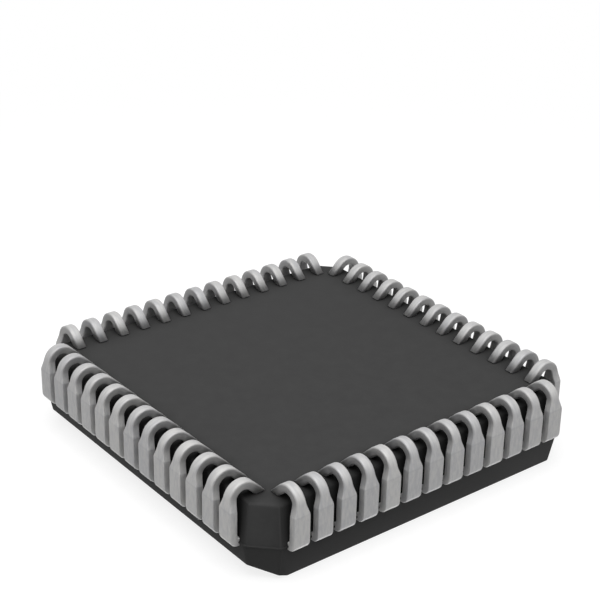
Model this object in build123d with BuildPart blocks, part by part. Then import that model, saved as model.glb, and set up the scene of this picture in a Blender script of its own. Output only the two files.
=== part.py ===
from build123d import *
import os
from math import cos, radians, sin, tan

# A square plastic leaded chip carrier with 52 J-shaped leads, 13 on a side.
# Millimetres. The origin is at the middle of the seating plane, +Z is up
# towards the top face, and the bevelled side with lead 1 faces -Y.

# Package outline
leads_per_side = 13
seated_height = 4.57       # from the seating plane to the top face
body_span = 19.05          # across the body at its parting line
row_end = 1.905            # from the body's side to the middle of a row's last lead
leg_clearance = 0.075      # between the body's side and the inner face of a leg
body_standoff = 0.82       # from the seating plane to the bottom face
draft_angle = 10.0         # of every moulded wall, in degrees
corner_facet = 1.14        # leg of the 45 degree facet on each corner
bevel_width = 1.42         # of the lead 1 bevel, measured on the top face
bevel_drop = 0.70          # of the lead 1 bevel, measured down the wall
rim_radius = 0.12          # round of the top and bottom rims

# Lead outside the body
lead_thickness = 0.40
shoulder_height = 2.95     # from the seating plane to the shoulder's top
shoulder_bend = 0.05       # inner radius of the bend at the shoulder
leg_width = 0.84
curl_width = 0.50
crease_height = 1.20       # where the leg starts to lean in and to narrow
taper_drop = 0.45          # from the crease down to the full narrowing
lean_angle = 10.0          # of the stretch between the crease and the curl, in degrees
curl_bend = 0.40           # inner radius of the J
curl_rise = 45.0           # degrees that the curl turns past the seating plane
tip_gap = 0.10             # between the cut tip and the bottom face
curl_flat_count = 4        # short flats of the J's round down to the seating plane
rise_flat_count = 2        # and past it
bend_flat_count = 3        # short flats of the shoulder bend outside
inner_flat_count = 1       # and inside

# Lead inside the body
root_length = 0.90         # full width held by the wall
finger_width = 0.36        # at the finger's tip
finger_tip_pitch = 0.62
finger_ring = 9.20         # across the finger tips of opposite rows

# Die paddle with its four tie bars
paddle_span = 8.00
paddle_downset = 0.20
tie_bar_width = 0.30
tie_bar_cover = 0.30       # plastic left over each tie bar's end
downset_run = 0.50

# Die and bond wires
bond_line = 0.05           # thickness of the die attach
die_span = 6.00
die_thickness = 0.35
pad_inset = 0.15           # from the die's edge to the middle of its pads
pad_pitch = 0.42
wire_size = 0.03
wire_loop = 0.20           # height of the loop over the die
wire_knee = 0.30           # level run before the wire falls
wire_heel = 0.08           # length of the stitch on the finger
wire_landing = 0.25        # from the finger's tip to the stitch

quarter_turn = 90          # degrees
lead_count = 4 * leads_per_side
row_middle = (leads_per_side - 1) / 2
lead_pitch = (body_span - 2 * row_end) / (leads_per_side - 1)
lead_plane_z = shoulder_height - lead_thickness
parting_z = shoulder_height - lead_thickness / 2
draft = tan(radians(draft_angle))
wall_half = body_span / 2
top_half = wall_half - (seated_height - parting_z) * draft
leg_inside = wall_half + leg_clearance
leg_outside = leg_inside + lead_thickness
shoulder_radius = shoulder_bend + lead_thickness
curl_radius = curl_bend + lead_thickness
paddle_top = shoulder_height - paddle_downset
die_bottom = paddle_top + bond_line
die_top = die_bottom + die_thickness

os.makedirs("parts", exist_ok=True)


def outward(side):
    """Direction out of a row: side 0 is -Y, then on round to +X, +Y and -X."""
    angle = radians(quarter_turn * (side - 1))
    return Vector(cos(angle), sin(angle), 0)


def plan_plane(side, height):
    """Level plane of a row: x runs outward and y along the row."""
    return Plane(origin=(0, 0, height), x_dir=outward(side), z_dir=(0, 0, 1))


def lead_place(side, slot):
    """Where a lead stands: x runs outward from the middle of the package and y along the row."""
    along = Vector(0, 0, 1).cross(outward(side))
    return Plane(origin=along * row_place(slot), x_dir=outward(side), z_dir=(0, 0, 1)).location


def row_place(slot):
    """Distance of a lead from the middle of its row."""
    return (slot - row_middle) * lead_pitch


def bent(middle, radius, start, turn, flats):
    """Points of a round stretch about a middle, as short flats, from a start angle in degrees."""
    angles = [radians(start + turn * step / flats) for step in range(flats + 1)]
    return [(middle[0] + radius * cos(angle), middle[1] + radius * sin(angle)) for angle in angles]


def row_slot(pin):
    """Side and place in the row of a lead, counted from lead 1 in the middle of side 0."""
    return divmod((pin - 1 + leads_per_side // 2) % lead_count, leads_per_side)


def finger_outline(slot):
    """Plan of a lead from its shoulder bend to the tip of its finger."""
    place = row_place(slot)
    tip_place = (slot - row_middle) * finger_tip_pitch
    bend = leg_outside - shoulder_radius
    root = wall_half - root_length
    tip = finger_ring / 2
    return [
        (bend, place + leg_width / 2),
        (root, place + leg_width / 2),
        (tip, tip_place + finger_width / 2),
        (tip, tip_place - finger_width / 2),
        (root, place - leg_width / 2),
        (bend, place - leg_width / 2),
    ]


# What a lead shows outside the body, the same for all: one bent strip, narrowed below its crease
with BuildPart() as lead_outside:
    bend_middle = (leg_outside - shoulder_radius, shoulder_height - shoulder_radius)
    lean = radians(lean_angle)
    lean_drop = crease_height - curl_radius * (1 - sin(lean))
    curl_middle = (leg_outside - lean_drop * tan(lean) - curl_radius * cos(lean), curl_radius)
    outer_round = [
        *bent(curl_middle, curl_radius, -lean_angle, lean_angle - quarter_turn, curl_flat_count),
        *bent(curl_middle, curl_radius, -quarter_turn, -curl_rise, rise_flat_count)[1:],
    ]
    inner_round = [
        *bent(curl_middle, curl_bend, -quarter_turn - curl_rise, curl_rise, rise_flat_count),
        *bent(curl_middle, curl_bend, -quarter_turn, quarter_turn - lean_angle, curl_flat_count)[1:],
    ]
    # Straight past the J's round, with the tip cut level
    tip_height = body_standoff - tip_gap
    tip_slope = 1 / tan(radians(curl_rise))
    outer_tip = (outer_round[-1][0] - (tip_height - outer_round[-1][1]) * tip_slope, tip_height)
    inner_tip = (inner_round[0][0] - (tip_height - inner_round[0][1]) * tip_slope, tip_height)
    with BuildSketch(Plane.XZ):
        with BuildLine():
            Polyline(
                *bent(bend_middle, shoulder_radius, quarter_turn, -quarter_turn, bend_flat_count),
                (leg_outside, crease_height),
                *outer_round,
                outer_tip,
                inner_tip,
                *inner_round,
                (leg_inside, crease_height + lead_thickness * tan(lean / 2)),
                *bent(bend_middle, shoulder_bend, 0, quarter_turn, inner_flat_count),
                close=True,
            )
        make_face()
    extrude(amount=leg_width / 2, both=True)
    # Both edges, cut back in a taper and straight on round the curl
    for edge in (-1, 1):
        with BuildSketch(Plane.YZ):
            with BuildLine():
                Polyline(
                    (edge * leg_width / 2, crease_height),
                    (edge * curl_width / 2, crease_height - taper_drop),
                    (edge * curl_width / 2, -lead_thickness),
                    (edge * leg_width, -lead_thickness),
                    (edge * leg_width, crease_height),
                    close=True,
                )
            make_face()
    extrude(amount=leg_outside + lead_thickness, mode=Mode.SUBTRACT)

# Leads, numbered counter-clockwise from the middle of the bevelled side
for pin in range(1, lead_count + 1):
    side, slot = row_slot(pin)
    with BuildPart() as lead:
        with BuildSketch(plan_plane(side, lead_plane_z)):
            with BuildLine():
                Polyline(*finger_outline(slot), close=True)
            make_face()
        extrude(amount=lead_thickness)
        with Locations(lead_place(side, slot)):
            add(lead_outside.part)
    lead.part.label = f"lead_{pin:02d}"
    export_step(lead.part, f"parts/{lead.part.label}.step")

# Die paddle: a square plate set down below the leads, hung on four tie bars
with BuildPart() as die_paddle:
    with BuildSketch(Plane.XY.offset(paddle_top)):
        Rectangle(paddle_span, paddle_span)
    extrude(amount=-lead_thickness)
    facet_distance = (2 * wall_half - corner_facet) / 2**0.5
    for corner in range(4):
        turned = Plane.XZ.rotated((0, 0, quarter_turn * (corner + 0.5)))
        bar_start = paddle_span / 2**0.5 - tie_bar_width
        slope_start = paddle_span / 2**0.5 + tie_bar_width
        slope_end = slope_start + downset_run
        bar_end = facet_distance - tie_bar_cover
        with BuildSketch(turned):
            with BuildLine():
                Polyline(
                    (bar_start, paddle_top),
                    (slope_start, paddle_top),
                    (slope_end, shoulder_height),
                    (bar_end, shoulder_height),
                    (bar_end, lead_plane_z),
                    (slope_end, lead_plane_z),
                    (slope_start, paddle_top - lead_thickness),
                    (bar_start, paddle_top - lead_thickness),
                    close=True,
                )
            make_face()
        extrude(amount=tie_bar_width / 2, both=True)
die_paddle.part.label = "die_paddle"
export_step(die_paddle.part, "parts/die_paddle.step")

# Die attach: the cured layer between the paddle and the die
with BuildPart() as die_attach:
    with BuildSketch(Plane.XY.offset(paddle_top)):
        Rectangle(die_span, die_span)
    extrude(amount=bond_line)
die_attach.part.label = "die_attach"
export_step(die_attach.part, "parts/die_attach.step")

# Silicon die
with BuildPart() as silicon_die:
    with BuildSketch(Plane.XY.offset(die_bottom)):
        Rectangle(die_span, die_span)
    extrude(amount=die_thickness)
silicon_die.part.label = "silicon_die"
export_step(silicon_die.part, "parts/silicon_die.step")

# Bond wires: one loop from each pad on the die to the finger of its lead
with BuildPart() as bond_wires:
    for side in range(4):
        for slot in range(leads_per_side):
            out = outward(side)
            along = Vector(0, 0, 1).cross(out)
            tip_place = (slot - row_middle) * finger_tip_pitch
            reach = wire_landing / (wall_half - root_length - finger_ring / 2)
            landing_place = tip_place + (row_place(slot) - tip_place) * reach
            pad = out * (die_span / 2 - pad_inset) + along * ((slot - row_middle) * pad_pitch)
            landing = out * (finger_ring / 2 + wire_landing) + along * landing_place
            run = landing - pad
            level = run.normalized()
            wire_plane = Plane(origin=pad, x_dir=level, z_dir=level.cross(Vector(0, 0, 1)))
            loop_top = die_top + wire_loop
            with BuildSketch(wire_plane):
                with BuildLine():
                    Polyline(
                        (-wire_size / 2, die_top),
                        (-wire_size / 2, loop_top),
                        (wire_knee, loop_top),
                        (run.length + wire_heel / 2, shoulder_height),
                        (run.length - wire_heel / 2, shoulder_height),
                        (wire_size / 2, loop_top - wire_size),
                        (wire_size / 2, die_top),
                        close=True,
                    )
                make_face()
    extrude(amount=wire_size / 2, both=True)
bond_wires.part.label = "bond_wires"
export_step(bond_wires.part, "parts/bond_wires.step")

# Package body: two drafted halves moulded round the lead frame
with BuildPart() as package_body:
    with BuildSketch(Plane.XY.offset(parting_z)) as parting_outline:
        Rectangle(body_span, body_span)
        chamfer(parting_outline.vertices(), corner_facet)
    extrude(amount=seated_height - parting_z, taper=draft_angle)
    with BuildSketch(Plane.XY.offset(parting_z).reverse()):
        Rectangle(body_span, body_span)
        chamfer(parting_outline.vertices(), corner_facet)
    extrude(amount=parting_z - body_standoff, taper=draft_angle)
    # Bevel that marks the side of lead 1
    crease_z = seated_height - bevel_drop
    crease_y = top_half + bevel_drop * draft
    bevel_slope = bevel_drop / (bevel_width + crease_y - top_half)
    with BuildSketch(Plane.YZ):
        with BuildLine():
            Polyline(
                (-top_half + bevel_width, seated_height),
                (-wall_half - corner_facet, crease_z - bevel_slope * (wall_half + corner_facet - crease_y)),
                (-wall_half - corner_facet, seated_height),
                close=True,
            )
        make_face()
    extrude(amount=body_span, both=True, mode=Mode.SUBTRACT)
    top_rim = package_body.faces().sort_by(Axis.Z)[-1].edges()
    bottom_rim = package_body.faces().sort_by(Axis.Z)[0].edges()
    fillet(top_rim + bottom_rim, rim_radius)
    # Room for the lead frame, the die and its wires
    for side in range(4):
        with BuildSketch(plan_plane(side, lead_plane_z)):
            for slot in range(leads_per_side):
                with BuildLine():
                    Polyline(*finger_outline(slot), close=True)
                make_face()
    extrude(amount=lead_thickness, mode=Mode.SUBTRACT)
    add(die_paddle.part, mode=Mode.SUBTRACT)
    add(die_attach.part, mode=Mode.SUBTRACT)
    add(silicon_die.part, mode=Mode.SUBTRACT)
    add(bond_wires.part, mode=Mode.SUBTRACT)
package_body.part.label = "package_body"
export_step(package_body.part, "parts/package_body.step")
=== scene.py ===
import math
import bmesh
import bpy
from mathutils import Matrix, Vector


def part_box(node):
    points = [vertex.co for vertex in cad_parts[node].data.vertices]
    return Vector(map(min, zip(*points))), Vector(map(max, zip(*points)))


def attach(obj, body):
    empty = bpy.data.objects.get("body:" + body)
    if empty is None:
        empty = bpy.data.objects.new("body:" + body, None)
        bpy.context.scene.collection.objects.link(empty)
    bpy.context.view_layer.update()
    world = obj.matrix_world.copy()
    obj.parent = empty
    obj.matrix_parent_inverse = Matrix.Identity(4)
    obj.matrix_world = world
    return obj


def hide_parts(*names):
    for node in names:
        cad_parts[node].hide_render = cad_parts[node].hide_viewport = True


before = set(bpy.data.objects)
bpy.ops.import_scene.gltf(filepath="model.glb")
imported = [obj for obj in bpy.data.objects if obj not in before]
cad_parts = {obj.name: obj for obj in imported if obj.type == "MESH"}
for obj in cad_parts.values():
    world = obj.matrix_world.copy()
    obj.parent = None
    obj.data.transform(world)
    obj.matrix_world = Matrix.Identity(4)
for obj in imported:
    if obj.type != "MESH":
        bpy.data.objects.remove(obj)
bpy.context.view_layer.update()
# Lengths below are in millimetres and angles in degrees; mm turns lengths into metres
mm = 0.001
scene = bpy.context.scene
scene.view_settings.view_transform = "Standard"
print("frame loaded:", len(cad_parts), "nodes")


# Small helpers for meshes, trees and pieces

def linkObject(name, data):
    made = bpy.data.objects.new(name, data)
    scene.collection.objects.link(made)
    return made


def addNode(tree, kind, inputs=None, **settings):
    node = tree.nodes.new(kind)
    for key, value in settings.items():
        setattr(node, key, value)
    for key, value in (inputs or {}).items():
        socket = node.inputs[key]
        if isinstance(value, bpy.types.NodeSocket):
            tree.links.new(value, socket)
        else:
            socket.default_value = value
    return node


def newTree(kind, name, inputs, outputs):
    tree = bpy.data.node_groups.new(name, kind)
    for label, socketKind, value in inputs:
        socket = tree.interface.new_socket(name=label, in_out="INPUT", socket_type=socketKind)
        if value is not None:
            socket.default_value = value
    for label, socketKind in outputs:
        tree.interface.new_socket(name=label, in_out="OUTPUT", socket_type=socketKind)
    return tree, tree.nodes.new("NodeGroupInput"), tree.nodes.new("NodeGroupOutput")


def grey(level):
    return (level, level, level, 1)


def calculate(tree, operation, first, second):
    return addNode(tree, "ShaderNodeMath", {0: first, 1: second}, operation=operation).outputs[0]


def calculateVector(tree, operation, first, second):
    inputs = {0: first, 1: second}
    return addNode(tree, "ShaderNodeVectorMath", inputs, operation=operation).outputs[0]


def mixColours(tree, share, first, second):
    # the Mix node's sockets for colours have these numbers
    inputs = {"Factor": share, 6: first, 7: second}
    return addNode(tree, "ShaderNodeMix", inputs, data_type="RGBA").outputs[2]


def mixShaders(tree, share, first, second):
    return addNode(tree, "ShaderNodeMixShader", {0: share, 1: first, 2: second}).outputs[0]


def joinRings(build, rings):
    count = len(rings[0])
    for first, second in zip(rings, rings[1:]):
        for index in range(count):
            following = (index + 1) % count
            build.faces.new((first[index], first[following], second[following], second[index]))


def plainMesh(source, modifier, name):
    evaluated = source.evaluated_get(bpy.context.evaluated_depsgraph_get())
    mesh = bpy.data.meshes.new_from_object(evaluated)
    mesh.name = name
    source.modifiers.remove(modifier)
    return mesh


# Camera: beneath the part and rolled over, so the underside lies up in the picture

cameraPlace = {
    "azimuth": -51.684,
    "below": 25.727,
    "roll": 1.140,
    "distance": 76.188,
    "sideways": 0.046,
    "upward": -2.604,
    "focalPixels": 1555.698,
    "pictureWidth": 600,
    "sensor": 36.0,
    "nearest": 1.0,
    "farthest": 2000.0,
}


def makeCamera(values):
    azimuth, below, roll = (math.radians(values[key]) for key in ("azimuth", "below", "roll"))
    back = Vector((
        math.cos(below) * math.sin(azimuth),
        -math.cos(below) * math.cos(azimuth),
        -math.sin(below),
    ))
    right = Vector((0, 0, -1)).cross(back).normalized()
    up = back.cross(right)
    rolledRight = right * math.cos(roll) + up * math.sin(roll)
    rolledUp = up * math.cos(roll) - right * math.sin(roll)
    place = back * values["distance"]
    place -= rolledRight * values["sideways"]
    place -= rolledUp * values["upward"]
    data = bpy.data.cameras.new("mainCamera")
    data.sensor_width = values["sensor"]
    data.lens = values["focalPixels"] / values["pictureWidth"] * values["sensor"]
    data.clip_start = values["nearest"] * mm
    data.clip_end = values["farthest"] * mm
    camera = linkObject("mainCamera", data)
    turn = Matrix((rolledRight, rolledUp, back)).transposed()
    camera.matrix_world = Matrix.Translation(place * mm) @ turn.to_4x4()
    scene.camera = camera


makeCamera(cameraPlace)
print("camera placed")


# Light: a white room, a broad soft lamp over the part and a stronger one opposite, under it

lightPlan = {
    "roomLight": 0.28,
    "lampPower": 0.135,
    "aboveShare": 0.65,
    "lampSize": 130.0,
    "lampHeight": 110.0,
    "lampSideways": 20.0,
}


def makeWorld(values):
    world = bpy.data.worlds.new("whiteRoom")
    scene.world = world
    world.use_nodes = True
    tree = world.node_tree
    tree.nodes.clear()
    path = addNode(tree, "ShaderNodeLightPath")
    shown = calculate(tree, "MAXIMUM", path.outputs["Is Camera Ray"], path.outputs["Is Glossy Ray"])
    seen = calculate(tree, "MAXIMUM", shown, path.outputs["Is Transmission Ray"])
    light = addNode(tree, "ShaderNodeBackground", {
        "Color": grey(1.0), "Strength": values["roomLight"],
    })
    white = addNode(tree, "ShaderNodeBackground", {"Color": grey(1.0), "Strength": 1.0})
    both = mixShaders(tree, seen, light.outputs[0], white.outputs[0])
    addNode(tree, "ShaderNodeOutputWorld", {"Surface": both})


def makeLamp(name, place, power, values):
    data = bpy.data.lights.new(name, "AREA")
    data.shape = "DISK"
    data.size = values["lampSize"] * mm
    data.energy = power
    lamp = linkObject(name, data)
    turn = place.to_track_quat("Z", "Y").to_matrix()
    lamp.matrix_world = Matrix.Translation(place * mm) @ turn.to_4x4()


makeWorld(lightPlan)
lampSideways = lightPlan["lampSideways"]
lampPlace = Vector((lampSideways, lampSideways, lightPlan["lampHeight"]))
makeLamp("lampAbove", lampPlace, lightPlan["lampPower"] * lightPlan["aboveShare"], lightPlan)
makeLamp("lampBelow", -lampPlace, lightPlan["lampPower"], lightPlan)
print("room and lamps made")


# Floors: one under the part as it stands, one at its top face for the turned-over view.
# Each shows only from its own side and lets every other ray through.

floorPlan = {
    "radius": 400.0,
    "segments": 96,
    "fadeStart": 18.0,
    "fadeEnd": 60.0,
    "colour": 0.26,
    "glow": 0.82,
}


def makeFloor(name, height, faces, values):
    mesh = bpy.data.meshes.new(name)
    build = bmesh.new()
    bmesh.ops.create_circle(
        build, cap_ends=True, segments=values["segments"], radius=values["radius"] * mm,
    )
    bmesh.ops.translate(build, verts=build.verts, vec=(0, 0, height * mm))
    for face in build.faces:
        if face.normal.z * faces < 0:
            face.normal_flip()
    build.to_mesh(mesh)
    build.free()
    floor = linkObject(name, mesh)
    floor.visible_diffuse = False
    floor.visible_glossy = False
    floor.visible_transmission = False
    floor.visible_shadow = False
    mesh.materials.append(floorFinish)


def makeFloorFinish(values):
    material = bpy.data.materials.new("paleFloor")
    material.use_nodes = True
    tree = material.node_tree
    tree.nodes.clear()
    coords = addNode(tree, "ShaderNodeTexCoord")
    flat = calculateVector(tree, "MULTIPLY", coords.outputs["Object"], (1, 1, 0))
    reach = addNode(tree, "ShaderNodeVectorMath", {0: flat}, operation="LENGTH")
    fade = addNode(tree, "ShaderNodeMapRange", {
        "Value": reach.outputs["Value"],
        "From Min": values["fadeStart"] * mm,
        "From Max": values["fadeEnd"] * mm,
    }, interpolation_type="SMOOTHSTEP")
    paint = addNode(tree, "ShaderNodeBsdfDiffuse", {"Color": grey(values["colour"])})
    glow = addNode(tree, "ShaderNodeEmission", {"Color": grey(1.0), "Strength": values["glow"]})
    lit = addNode(tree, "ShaderNodeAddShader", {0: paint.outputs[0], 1: glow.outputs[0]})
    white = addNode(tree, "ShaderNodeEmission", {"Color": grey(1.0), "Strength": 1.0})
    far = mixShaders(tree, fade.outputs[0], lit.outputs[0], white.outputs[0])
    clear = addNode(tree, "ShaderNodeBsdfTransparent")
    sideSeen = addNode(tree, "ShaderNodeNewGeometry")
    surface = mixShaders(tree, sideSeen.outputs["Backfacing"], far, clear.outputs[0])
    addNode(tree, "ShaderNodeOutputMaterial", {"Surface": surface})
    return material


floorFinish = makeFloorFinish(floorPlan)
makeFloor("floorUnderLeads", 0.0, 1, floorPlan)
makeFloor("floorUnderTopFace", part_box("package_body")[1].z / mm, -1, floorPlan)
print("floors made")


# Shared effects: fine grain with cloudy flecks, and painted shade in narrow places

effectPlan = {
    "grainSize": 0.08,
    "fineDetail": 2.0,
    "fineRoughness": 0.6,
    "fleckSize": 0.4,
    "fleckDetail": 4.0,
    "fleckRoughness": 0.65,
    "fleckLow": 0.34,
    "fleckHigh": 0.66,
    "paintedShadeDefaultReach": 0.8,
    "paintedShadePower": 1.0,
}


def makeGrainEffect(values):
    group, given, result = newTree("ShaderNodeTree", "fineGrain", [
        ("Coordinates", "NodeSocketVector", None),
        ("Grain Size", "NodeSocketFloat", values["grainSize"]),
        ("Fleck Size", "NodeSocketFloat", values["fleckSize"]),
        ("Low", "NodeSocketFloat", values["fleckLow"]),
        ("High", "NodeSocketFloat", values["fleckHigh"]),
    ], [("Height", "NodeSocketFloat"), ("Flecks", "NodeSocketFloat")])
    inMillimetres = addNode(group, "ShaderNodeVectorMath", {
        0: given.outputs["Coordinates"], "Scale": 1 / mm,
    }, operation="SCALE")
    fine = addNode(group, "ShaderNodeTexNoise", {
        "Vector": inMillimetres.outputs[0],
        "Scale": calculate(group, "DIVIDE", 1.0, given.outputs["Grain Size"]),
        "Detail": values["fineDetail"],
        "Roughness": values["fineRoughness"],
    })
    flecks = addNode(group, "ShaderNodeTexNoise", {
        "Vector": inMillimetres.outputs[0],
        "Scale": calculate(group, "DIVIDE", 1.0, given.outputs["Fleck Size"]),
        "Detail": values["fleckDetail"],
        "Roughness": values["fleckRoughness"],
    })
    spread = addNode(group, "ShaderNodeMapRange", {
        "Value": flecks.outputs[0],
        "From Min": given.outputs["Low"],
        "From Max": given.outputs["High"],
    })
    group.links.new(fine.outputs[0], result.inputs["Height"])
    group.links.new(spread.outputs[0], result.inputs["Flecks"])
    return group


# painted shade: ambient occlusion gives how open a spot is, used to darken the colour in narrow
# places
def makePaintedShadeEffect(values):
    group, given, result = newTree("ShaderNodeTree", "paintedCreviceShade", [
        ("Reach", "NodeSocketFloat", values["paintedShadeDefaultReach"] * mm),
        ("Power", "NodeSocketFloat", values["paintedShadePower"]),
    ], [("Openness", "NodeSocketFloat")])
    hollow = addNode(group, "ShaderNodeAmbientOcclusion", {"Distance": given.outputs["Reach"]})
    openness = calculate(group, "POWER", hollow.outputs["AO"], given.outputs["Power"])
    group.links.new(openness, result.inputs["Openness"])
    return group


grainEffect = makeGrainEffect(effectPlan)
paintedShadeEffect = makePaintedShadeEffect(effectPlan)


def placeEffect(tree, group, inputs):
    return addNode(tree, "ShaderNodeGroup", inputs, node_tree=group)


def readAttribute(tree, name, output):
    return addNode(tree, "ShaderNodeAttribute", attribute_name=name).outputs[output]


def makeFinish(look):
    material = bpy.data.materials.new(look["name"])
    material.use_nodes = True
    tree = material.node_tree
    shader = next(node for node in tree.nodes if node.type == "BSDF_PRINCIPLED")
    if look["onLeads"]:
        place = readAttribute(tree, "unrolled", "Vector")
    else:
        place = addNode(tree, "ShaderNodeTexCoord").outputs["Object"]
    place = calculateVector(tree, "MULTIPLY", place, look["stretch"])
    if look["onLeads"]:
        # every lead has its own shade, which also picks its own patch of grain
        shade = readAttribute(tree, "leadShade", "Fac")
        place = calculateVector(tree, "ADD", place, shade)
    grain = placeEffect(tree, grainEffect, {
        "Coordinates": place, "Grain Size": look["grainSize"], "Fleck Size": look["fleckSize"],
    })
    patches = grain.outputs["Flecks"]
    if look["onLeads"]:
        patches = calculate(tree, "ADD", patches, shade)
        # painted shade: a darker band along the crease
        crease = readAttribute(tree, "creaseMark", "Fac")
        creaseShadeShare = calculate(tree, "MULTIPLY", crease, look["paintedCreaseShade"])
        patches = calculate(tree, "SUBTRACT", patches, creaseShadeShare)
    colour = mixColours(tree, patches, look["dark"], look["light"])
    if look["onLeads"]:
        # painted shade: the sides of the narrowed curl are darkened
        sides = readAttribute(tree, "shadedSideShare", "Fac")
        sideShadeShare = calculate(tree, "MULTIPLY", sides, look["paintedSideShade"])
        colour = mixColours(tree, sideShadeShare, colour, grey(0.0))
    if look["paintedShadeReach"]:
        # painted shade: the colour is darkened in the narrow places behind and between the leads
        openness = placeEffect(tree, paintedShadeEffect, {
            "Reach": look["paintedShadeReach"] * mm, "Power": look["paintedShadePower"],
        })
        colour = mixColours(tree, openness.outputs[0], grey(0.0), colour)
    rough = addNode(tree, "ShaderNodeMapRange", {
        "Value": grain.outputs["Flecks"],
        "To Min": look["roughness"][0],
        "To Max": look["roughness"][1],
    })
    bump = addNode(tree, "ShaderNodeBump", {
        "Strength": look["bump"],
        "Distance": look["bumpDepth"] * mm,
        "Height": grain.outputs["Height"],
    })
    tree.links.new(colour, shader.inputs["Base Color"])
    tree.links.new(rough.outputs[0], shader.inputs["Roughness"])
    tree.links.new(bump.outputs[0], shader.inputs["Normal"])
    shader.inputs["Metallic"].default_value = look["metallic"]
    shader.inputs["IOR"].default_value = look["ior"]
    return material


mouldingLook = {
    "name": "blackMoulding",
    "onLeads": False,
    "stretch": (1.0, 1.0, 1.0),
    "dark": grey(0.049),
    "light": grey(0.056),
    "metallic": 0.0,
    "roughness": (0.86, 0.96),
    "ior": 1.2,
    # painted shade in the narrow places between the leads: its reach and power
    "paintedShadeReach": 0.8,
    "paintedShadePower": 1.5,
    "grainSize": 0.055,
    "fleckSize": 0.9,
    "bump": 0.35,
    "bumpDepth": 0.006,
}

tinLook = {
    "name": "mattTin",
    "onLeads": True,
    "stretch": (0.3, 1.0, 1.0),
    "dark": (0.435, 0.435, 0.445, 1),
    "light": (0.555, 0.55, 0.54, 1),
    "metallic": 0.36,
    "roughness": (0.50, 0.64),
    "ior": 1.5,
    "paintedShadeReach": None,
    "grainSize": 0.05,
    "fleckSize": 0.14,
    # painted shade along the crease
    "paintedCreaseShade": 0.4,
    # painted shade on the sides of the narrowed curl
    "paintedSideShade": 0.25,
    "bump": 0.30,
    "bumpDepth": 0.004,
}

# The pieces held inside keep their CAD shape and get their own finish
innerLooks = {
    "die_paddle": {
        "name": "rolledCopper",
        "onLeads": False,
        "stretch": (0.15, 1.0, 1.0),
        "dark": (0.58, 0.27, 0.16, 1),
        "light": (0.76, 0.40, 0.27, 1),
        "metallic": 1.0,
        "roughness": (0.26, 0.40),
        "ior": 1.5,
        "paintedShadeReach": None,
        "grainSize": 0.04,
        "fleckSize": 0.5,
        "bump": 0.25,
        "bumpDepth": 0.003,
    },
    "die_attach": {
        "name": "silverEpoxy",
        "onLeads": False,
        "stretch": (1.0, 1.0, 1.0),
        "dark": (0.36, 0.36, 0.37, 1),
        "light": (0.62, 0.61, 0.60, 1),
        "metallic": 0.5,
        "roughness": (0.45, 0.65),
        "ior": 1.5,
        "paintedShadeReach": None,
        "grainSize": 0.03,
        "fleckSize": 0.08,
        "bump": 0.50,
        "bumpDepth": 0.004,
    },
    "silicon_die": {
        "name": "polishedSilicon",
        "onLeads": False,
        "stretch": (1.0, 1.0, 1.0),
        "dark": (0.10, 0.11, 0.15, 1),
        "light": (0.17, 0.17, 0.22, 1),
        "metallic": 0.8,
        "roughness": (0.10, 0.18),
        "ior": 1.5,
        "paintedShadeReach": None,
        "grainSize": 0.02,
        "fleckSize": 0.25,
        "bump": 0.10,
        "bumpDepth": 0.001,
    },
    "bond_wires": {
        "name": "goldWire",
        "onLeads": False,
        "stretch": (1.0, 1.0, 1.0),
        "dark": (0.83, 0.56, 0.22, 1),
        "light": (0.95, 0.70, 0.34, 1),
        "metallic": 1.0,
        "roughness": (0.18, 0.28),
        "ior": 1.5,
        "paintedShadeReach": None,
        "grainSize": 0.01,
        "fleckSize": 0.10,
        "bump": 0.10,
        "bumpDepth": 0.001,
    },
}

mouldingFinish = makeFinish(mouldingLook)
tinFinish = makeFinish(tinLook)
for nodeName, innerLook in innerLooks.items():
    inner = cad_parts[nodeName]
    innerFinish = makeFinish(innerLook)
    for materialSlot in inner.material_slots:
        materialSlot.material = innerFinish
    print(nodeName, len(inner.material_slots), "material slot")
print("finishes made")


# Leads: one J lead is a rounded ribbon laid along its bent path, then rows of thirteen

leadPlan = {
    "perRow": 13,
    "pitch": 1.27,
    "fingerPitch": 0.62,
    "thickness": 0.40,
    "outerFace": 10.0,
    "levelHeight": 2.75,
    "shoulderOuter": 0.45,
    "fingerTip": 4.60,
    "fingerSteps": 8,
    "root": 8.625,
    "rootReach": 0.2,
    "fingerHalf": 0.18,
    "legHalf": 0.42,
    "curlHalf": 0.25,
    "legHeights": (2.1, 1.7, 1.4),
    "creaseHeight": 1.20,
    "creaseSteps": 3,
    "lean": 10.0,
    "leanShares": (0.25, 0.5, 0.75),
    "taperLength": 0.52,
    "taperEase": 0.16,
    "curlOuter": 0.80,
    "curlRise": 45.0,
    "tipHeight": 0.78,
    "legRound": 0.05,
    "curlRound": 0.08,
    "edgeSteps": 4,
    "curlSteps": 26,
    "bendSteps": 8,
    "shadeSpread": 0.6,
    "shadeSeed": 3,
    "creaseReach": 0.05,
}


def eased(value, soften):
    # zero below the corner, the value itself past it, with the corner rounded
    if value <= -soften:
        return 0.0
    if value >= soften:
        return value
    return (value + soften) ** 2 / (4 * soften)


def taperHalf(down, plan):
    # half width at a path length below the crease, both corners of the taper eased
    slope = (plan["legHalf"] - plan["curlHalf"]) / plan["taperLength"]
    narrowing = eased(down, plan["creaseReach"])
    narrowed = eased(down - plan["taperLength"], plan["taperEase"])
    return plan["legHalf"] - slope * (narrowing - narrowed)


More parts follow.
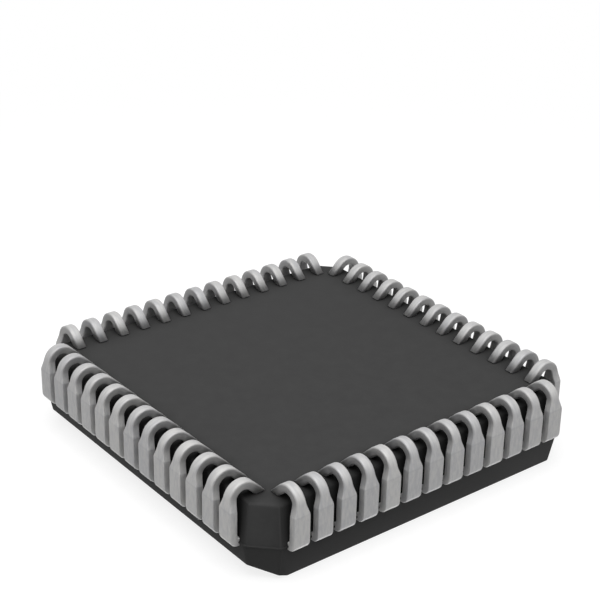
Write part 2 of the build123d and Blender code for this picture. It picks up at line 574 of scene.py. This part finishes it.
def leadStations(plan):
    # each station: outward, height, heading angle, half width,
    # reach of the finger fan and mark of the crease
    half = plan["thickness"] / 2
    legOut = plan["outerFace"] - half
    legHalf = plan["legHalf"]
    bendRadius = plan["shoulderOuter"] - half
    stations = []
    for step in range(plan["fingerSteps"] + 1):
        share = step / plan["fingerSteps"]
        out = plan["fingerTip"] + (plan["root"] - plan["fingerTip"]) * share
        width = plan["fingerHalf"] + (legHalf - plan["fingerHalf"]) * share
        stations.append((out, plan["levelHeight"], 0.0, width, 1 - share, 0.0))
    rootEnd = plan["root"] + plan["rootReach"]
    stations.append((rootEnd, plan["levelHeight"], 0.0, legHalf, 0.0, 0.0))
    for step in range(plan["bendSteps"] + 1):
        angle = math.pi / 2 * step / plan["bendSteps"]
        stations.append((
            legOut - bendRadius + bendRadius * math.sin(angle),
            plan["levelHeight"] - bendRadius + bendRadius * math.cos(angle),
            angle, legHalf, 0.0, 0.0,
        ))
    for height in plan["legHeights"]:
        stations.append((legOut, height, math.pi / 2, legHalf, 0.0, 0.0))
    # below the crease the leg leans in and narrows, then curls
    lean = math.radians(plan["lean"])
    curlRadius = plan["curlOuter"] - half
    curlHeight = plan["curlOuter"]
    leanStart = Vector((legOut, plan["creaseHeight"]))
    leanDrop = plan["creaseHeight"] - curlHeight + curlRadius * math.sin(lean)
    runLength = leanDrop / math.cos(lean)
    leanEnd = leanStart + Vector((-math.sin(lean), -math.cos(lean))) * runLength
    curlMiddle = leanEnd - Vector((math.cos(lean), -math.sin(lean))) * curlRadius
    creaseSteps = plan["creaseSteps"]
    for step in range(-creaseSteps, creaseSteps + 1):
        down = plan["creaseReach"] * step / creaseSteps
        turned = lean * (step + creaseSteps) / (2 * creaseSteps)
        leanIn = math.sin(lean) * eased(down, plan["creaseReach"])
        stations.append((
            legOut - leanIn, plan["creaseHeight"] - down, math.pi / 2 + turned,
            taperHalf(down, plan), 0.0, 1 - abs(step) / creaseSteps,
        ))
    for share in plan["leanShares"]:
        place = leanStart.lerp(leanEnd, share)
        width = taperHalf(runLength * share, plan)
        stations.append((place.x, place.y, math.pi / 2 + lean, width, 0.0, 0.0))
    fullTurn = math.radians(90 + plan["curlRise"]) - lean
    for step in range(plan["curlSteps"] + 1):
        turned = fullTurn * step / plan["curlSteps"]
        heading = math.pi / 2 + lean + turned
        stations.append((
            curlMiddle.x + curlRadius * math.sin(heading),
            curlMiddle.y + curlRadius * math.cos(heading),
            heading, taperHalf(runLength + curlRadius * turned, plan), 0.0, 0.0,
        ))
    return stations


def ringPoints(half, thick, plan):
    # rounded rectangle as (across, through, share of side face where the lead narrows, which gets
    # painted shade)
    # through is positive on the outer face
    narrowed = (plan["legHalf"] - half) / (plan["legHalf"] - plan["curlHalf"])
    narrowed = max(0.0, min(1.0, narrowed))
    radius = plan["legRound"] + (plan["curlRound"] - plan["legRound"]) * narrowed
    points = []
    for corner, (sideAcross, sideThrough) in enumerate(((1, 1), (-1, 1), (-1, -1), (1, -1))):
        for step in range(plan["edgeSteps"] + 1):
            angle = math.pi / 2 * (corner + step / plan["edgeSteps"])
            points.append((
                sideAcross * (half - radius) + radius * math.cos(angle),
                sideThrough * (thick / 2 - radius) + radius * math.sin(angle),
                narrowed * abs(math.cos(angle)),
            ))
    return points


def makeOneLead(plan):
    mesh = bpy.data.meshes.new("oneLead")
    build = bmesh.new()
    unrolled = build.verts.layers.float_vector.new("unrolled")
    reachLayer = build.verts.layers.float.new("fingerReach")
    creaseLayer = build.verts.layers.float.new("creaseMark")
    shadedSideLayer = build.verts.layers.float.new("shadedSideShare")
    stations = leadStations(plan)
    rings = []
    length = 0.0
    previous = None
    for out, height, heading, half, reach, crease in stations:
        if previous:
            length += math.hypot(out - previous[0], height - previous[1])
        previous = (out, height)
        normal = (math.sin(heading), math.cos(heading))
        ring = []
        for across, through, shadedSideShare in ringPoints(half, plan["thickness"], plan):
            outward = out + normal[0] * through
            upward = height + normal[1] * through
            vert = build.verts.new(Vector((across, -outward, upward)) * mm)
            vert[unrolled] = Vector((length, across, through)) * mm
            vert[reachLayer] = reach
            vert[creaseLayer] = crease
            vert[shadedSideLayer] = shadedSideShare
            ring.append(vert)
        rings.append(ring)
    # the tip runs on straight and ends level
    heading = stations[-1][2]
    travel = (math.cos(heading), -math.sin(heading))
    ring = []
    for old in rings[-1]:
        lift = (plan["tipHeight"] * mm - old.co.z) / travel[1]
        vert = build.verts.new(old.co + Vector((0, -travel[0], travel[1])) * lift)
        vert[unrolled] = old[unrolled] + Vector((lift, 0, 0))
        vert[shadedSideLayer] = old[shadedSideLayer]
        ring.append(vert)
    rings.append(ring)
    joinRings(build, rings)
    build.faces.new(rings[0])
    build.faces.new(list(reversed(rings[-1])))
    bmesh.ops.recalc_face_normals(build, faces=build.faces)
    for face in build.faces:
        face.smooth = len(face.verts) == 4
    build.to_mesh(mesh)
    build.free()
    return mesh


def storeOnPoints(tree, geometry, name, value):
    return addNode(tree, "GeometryNodeStoreNamedAttribute", {
        "Geometry": geometry, "Name": name, "Value": value,
    }, data_type="FLOAT", domain="POINT").outputs[0]


def readStored(tree, name):
    inputs = {"Name": name}
    return addNode(tree, "GeometryNodeInputNamedAttribute", inputs, data_type="FLOAT").outputs[0]


def moveSideways(tree, geometry, distance):
    offset = addNode(tree, "ShaderNodeCombineXYZ", {"X": distance})
    return addNode(tree, "GeometryNodeSetPosition", {
        "Geometry": geometry, "Offset": offset.outputs[0],
    }).outputs[0]


def makeRowTree(plan):
    tree, given, result = newTree("GeometryNodeTree", "leadRow", [
        ("Geometry", "NodeSocketGeometry", None),
        ("Count", "NodeSocketInt", plan["perRow"]),
        ("Pitch", "NodeSocketFloat", plan["pitch"] * mm),
        ("Finger Pitch", "NodeSocketFloat", plan["fingerPitch"] * mm),
        ("Side", "NodeSocketInt", 0),
        ("Shade Spread", "NodeSocketFloat", plan["shadeSpread"]),
        ("Seed", "NodeSocketInt", plan["shadeSeed"]),
        ("Finish", "NodeSocketMaterial", None),
    ], [("Geometry", "NodeSocketGeometry")])
    # a line of points, each with its slot counted from the middle and its own shade
    step = addNode(tree, "ShaderNodeCombineXYZ", {"X": given.outputs["Pitch"]})
    line = addNode(tree, "GeometryNodeMeshLine", {
        "Count": given.outputs["Count"], "Offset": step.outputs[0],
    })
    index = addNode(tree, "GeometryNodeInputIndex")
    lastIndex = calculate(tree, "SUBTRACT", given.outputs["Count"], 1.0)
    middle = calculate(tree, "MULTIPLY", lastIndex, 0.5)
    slot = calculate(tree, "SUBTRACT", index.outputs[0], middle)
    points = storeOnPoints(tree, line.outputs[0], "slot", slot)
    sideSeed = calculate(tree, "ADD", given.outputs["Side"], given.outputs["Seed"])
    shade = addNode(tree, "FunctionNodeRandomValue", {"Seed": sideSeed}, data_type="FLOAT")
    centred = calculate(tree, "SUBTRACT", shade.outputs[1], 0.5)
    spread = calculate(tree, "MULTIPLY", centred, given.outputs["Shade Spread"])
    points = storeOnPoints(tree, points, "leadShade", spread)
    halfRow = calculate(tree, "MULTIPLY", middle, given.outputs["Pitch"])
    backward = calculate(tree, "MULTIPLY", halfRow, -1.0)
    points = moveSideways(tree, points, backward)
    # a lead on each point, with its finger drawn together towards the die
    leads = addNode(tree, "GeometryNodeInstanceOnPoints", {
        "Points": points, "Instance": given.outputs["Geometry"],
    })
    real = addNode(tree, "GeometryNodeRealizeInstances", {"Geometry": leads.outputs[0]})
    closer = calculate(tree, "SUBTRACT", given.outputs["Finger Pitch"], given.outputs["Pitch"])
    fan = calculate(tree, "MULTIPLY", readStored(tree, "slot"), closer)
    fanned = calculate(tree, "MULTIPLY", fan, readStored(tree, "fingerReach"))
    fannedLeads = moveSideways(tree, real.outputs[0], fanned)
    # the row is turned to its side of the body
    quarters = calculate(tree, "MULTIPLY", given.outputs["Side"], math.pi / 2)
    turn = addNode(tree, "ShaderNodeCombineXYZ", {"Z": quarters})
    turned = addNode(tree, "GeometryNodeTransform", {
        "Geometry": fannedLeads, "Rotation": turn.outputs[0],
    })
    finished = addNode(tree, "GeometryNodeSetMaterial", {
        "Geometry": turned.outputs[0], "Material": given.outputs["Finish"],
    })
    tree.links.new(finished.outputs[0], result.inputs[0])
    return tree


def makeRow(name, side, oneLead, tree, finish):
    source = linkObject(name + "Source", oneLead)
    modifier = source.modifiers.new("row", "NODES")
    modifier.node_group = tree
    items = tree.interface.items_tree
    sockets = {item.name: item.identifier for item in items if item.in_out == "INPUT"}
    modifier[sockets["Side"]] = side
    modifier[sockets["Finish"]] = finish
    mesh = plainMesh(source, modifier, name)
    bpy.data.objects.remove(source)
    return linkObject(name, mesh)


def leadNodes(side, perRow):
    # lead 1 is in the middle of side 0
    slots = [(side * perRow + slot - perRow // 2) % (4 * perRow) + 1 for slot in range(perRow)]
    return [f"lead_{pin:02d}" for pin in slots]


oneLead = makeOneLead(leadPlan)
rowTree = makeRowTree(leadPlan)
for side, rowName in enumerate(("leadRowBevelSide", "leadRowRight", "leadRowBack", "leadRowLeft")):
    row = makeRow(rowName, side, oneLead, rowTree, tinFinish)
    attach(row, "root")
    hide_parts(*leadNodes(side, leadPlan["perRow"]))
    print(rowName, len(row.data.polygons), "faces")
bpy.data.meshes.remove(oneLead)


# Body: two drafted halves that meet at a fine parting ridge, with the bevel and rounded edges

bodyPlan = {
    "half": 9.525,
    "facet": 1.14,
    "draft": math.tan(math.radians(10.0)),
    "bottom": 0.82,
    "parting": 2.75,
    "top": 4.57,
    "bevelWidth": 1.42,
    "bevelDrop": 0.70,
    "ridgeOut": 0.04,
    "ridgeHalf": 0.045,
    "edgeRound": 0.18,
    "topShare": 0.45,
    "uprightShare": 0.55,
    "ridgeShare": 0.16,
    "roundSteps": 4,
    "levelTolerance": 0.001,
    "cutTolerance": 0.0001,
}


def bodyRing(build, height, inset, plan):
    half = plan["half"] - inset
    facetPlane = (2 * plan["half"] - plan["facet"]) / math.sqrt(2) - inset
    corner = facetPlane * math.sqrt(2) - half
    places = [
        (half, -corner), (half, corner), (corner, half), (-corner, half),
        (-half, corner), (-half, -corner), (-corner, -half), (corner, -half),
    ]
    return [build.verts.new(Vector((x, y, height)) * mm) for x, y in places]


def makeBody(plan):
    mesh = bpy.data.meshes.new("mouldedBody")
    build = bmesh.new()
    low = plan["parting"] - plan["ridgeHalf"]
    high = plan["parting"] + plan["ridgeHalf"]
    levels = [
        (plan["bottom"], (plan["parting"] - plan["bottom"]) * plan["draft"]),
        (low, plan["ridgeHalf"] * plan["draft"]),
        (low, -plan["ridgeOut"]),
        (high, -plan["ridgeOut"]),
        (high, plan["ridgeHalf"] * plan["draft"]),
        (plan["top"], (plan["top"] - plan["parting"]) * plan["draft"]),
    ]
    rings = [bodyRing(build, height, inset, plan) for height, inset in levels]
    joinRings(build, rings)
    build.faces.new(list(reversed(rings[0])))
    build.faces.new(rings[-1])
    weight = build.edges.layers.float.new("bevel_weight_edge")
    tolerance = plan["levelTolerance"]
    for edge in build.edges:
        lowest, highest = sorted(vert.co.z / mm for vert in edge.verts)
        onRidge = lowest > low - tolerance and highest < high + tolerance
        level = highest - lowest < tolerance
        if onRidge:
            edge[weight] = plan["ridgeShare"] if level else 0.0
        elif level:
            edge[weight] = plan["topShare"] if lowest > high else 1.0
        else:
            edge[weight] = plan["uprightShare"]
    # bevel on the side of lead 1
    topHalf = plan["half"] - (plan["top"] - plan["parting"]) * plan["draft"]
    across = plan["bevelWidth"] + plan["bevelDrop"] * plan["draft"]
    onTop = Vector((0, -topHalf + plan["bevelWidth"], plan["top"])) * mm
    outward = Vector((0, -plan["bevelDrop"], across)).normalized()
    bmesh.ops.bisect_plane(
        build, geom=build.verts[:] + build.edges[:] + build.faces[:],
        plane_co=onTop, plane_no=outward, clear_outer=True, dist=plan["cutTolerance"] * mm,
    )
    rim = [edge for edge in build.edges if edge.is_boundary]
    bmesh.ops.holes_fill(build, edges=rim, sides=0)
    for edge in rim:
        edge[weight] = plan["topShare"]
    bmesh.ops.recalc_face_normals(build, faces=build.faces)
    build.to_mesh(mesh)
    build.free()
    body = linkObject("mouldedBody", mesh)
    rounding = body.modifiers.new("rounding", "BEVEL")
    rounding.width = plan["edgeRound"] * mm
    rounding.segments = plan["roundSteps"]
    rounding.limit_method = "WEIGHT"
    rounding.harden_normals = True
    rounding.use_clamp_overlap = True
    body.data = plainMesh(body, rounding, "mouldedBody")
    for polygon in body.data.polygons:
        polygon.use_smooth = True
    return body


body = makeBody(bodyPlan)
body.data.materials.append(mouldingFinish)
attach(body, "root")
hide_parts("package_body")
print("body made:", len(body.data.polygons), "faces")
